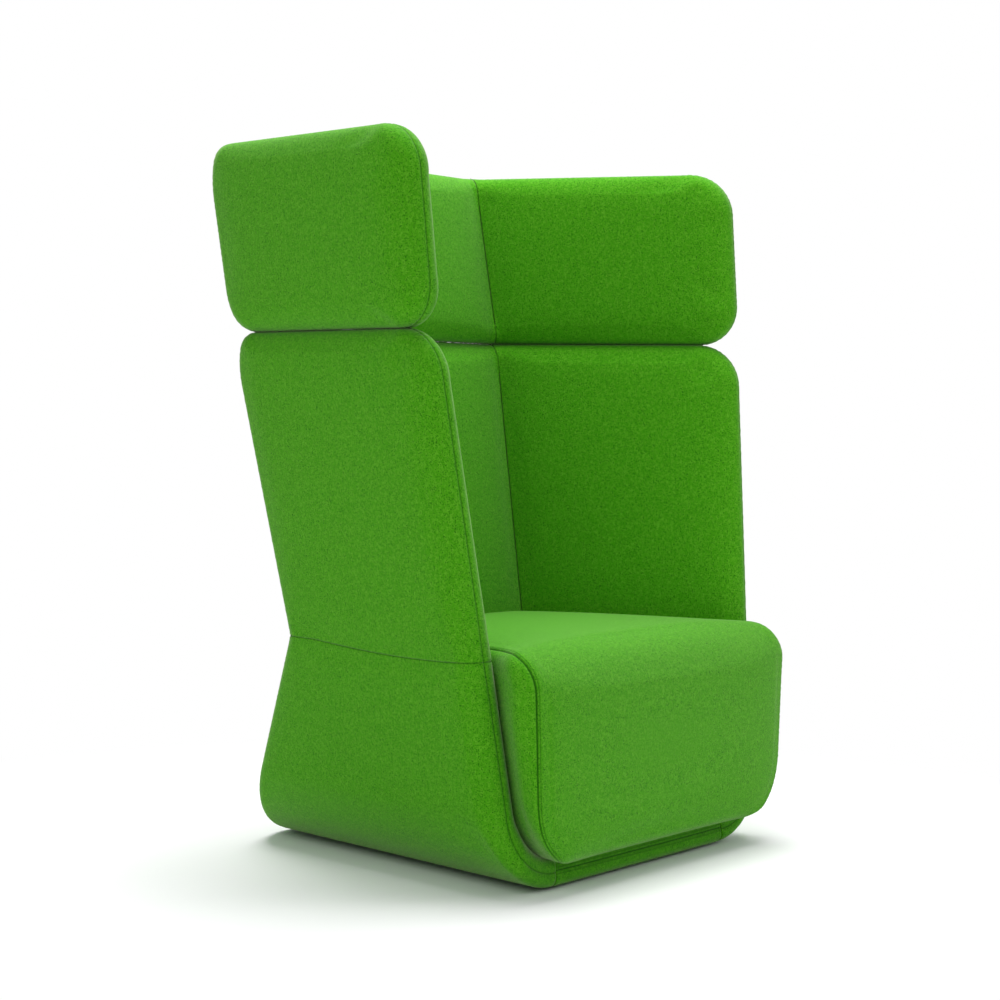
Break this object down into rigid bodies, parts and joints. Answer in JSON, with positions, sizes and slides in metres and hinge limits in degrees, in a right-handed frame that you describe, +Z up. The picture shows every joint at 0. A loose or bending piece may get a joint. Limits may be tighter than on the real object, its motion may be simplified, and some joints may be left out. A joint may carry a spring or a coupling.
{
  "type": "acoustic high back lounge chair",
  "caption": "High back upholstered lounge chair: splayed U-shaped shell, separate head collar above it and a full-height seat block, all in green wool felt.",
  "frame": {"origin": "centre of the bounding box in plan, at the floor under the glides", "axes": "+Z up, the chair faces -Y, and X = 0 is its plane of symmetry"},
  "size_m": [1.1512, 0.8473, 1.372],
  "materials": {
    "felt": "mottled green wool felt",
    "foam": "open-cell polyurethane foam",
    "plywood": "birch plywood, sanded",
    "webbing": "woven elastic webbing",
    "steel": "zinc plated",
    "cloth": "non-woven dust cloth",
    "nylon": "black nylon"
  },
  "bodies": {
    "chair": {"collar_cover_left": "felt", "collar_cover_right": "felt", "collar_cover_back": "felt", "side_cover_left": "felt", "side_cover_right": "felt", "back_cover": "felt", "base_cover_left": "felt", "base_cover_right": "felt", "base_cover_back": "felt", "rail_cover": "felt", "seat_cover": "felt", "collar_foam_left": "foam", "collar_foam_right": "foam", "collar_foam_back": "foam", "side_foam_left": "foam", "side_foam_right": "foam", "back_foam": "foam", "base_foam_left": "foam", "base_foam_right": "foam", "base_foam_back": "foam", "rail_foam": "foam", "seat_foam": "foam", "collar_board_left": "plywood", "collar_board_right": "plywood", "collar_board_back": "plywood", "side_board_left": "plywood", "side_board_right": "plywood", "back_board": "plywood", "base_board": "plywood", "base_back_board": "plywood", "base_ribs_left": "plywood", "base_ribs_right": "plywood", "seat_battens": "plywood", "seat_box_front": "plywood", "seat_box_back": "plywood", "seat_box_left": "plywood", "seat_box_right": "plywood", "webbing_across": "webbing", "webbing_along": "webbing", "upright_left": "steel", "upright_right": "steel", "upright_back_left": "steel", "upright_back_right": "steel", "upright_screws": "steel", "glide_inserts": "steel", "dust_cloth": "cloth"},
    "glide_front_left": {"glide_front_left": "nylon"},
    "glide_front_right": {"glide_front_right": "nylon"},
    "glide_rear_left": {"glide_rear_left": "nylon"},
    "glide_rear_right": {"glide_rear_right": "nylon"}
  },
  "joints": [
    {"name": "glide_front_left_screw_out", "type": "slide", "parent": "chair", "child": "glide_front_left", "axis": [0, 0, -1], "range_m": [0, 0.01]},
    {"name": "glide_front_right_screw_out", "type": "slide", "parent": "chair", "child": "glide_front_right", "axis": [0, 0, -1], "range_m": [0, 0.01]},
    {"name": "glide_rear_left_screw_out", "type": "slide", "parent": "chair", "child": "glide_rear_left", "axis": [0, 0, -1], "range_m": [0, 0.01]},
    {"name": "glide_rear_right_screw_out", "type": "slide", "parent": "chair", "child": "glide_rear_right", "axis": [0, 0, -1], "range_m": [0, 0.01]}
  ]
}
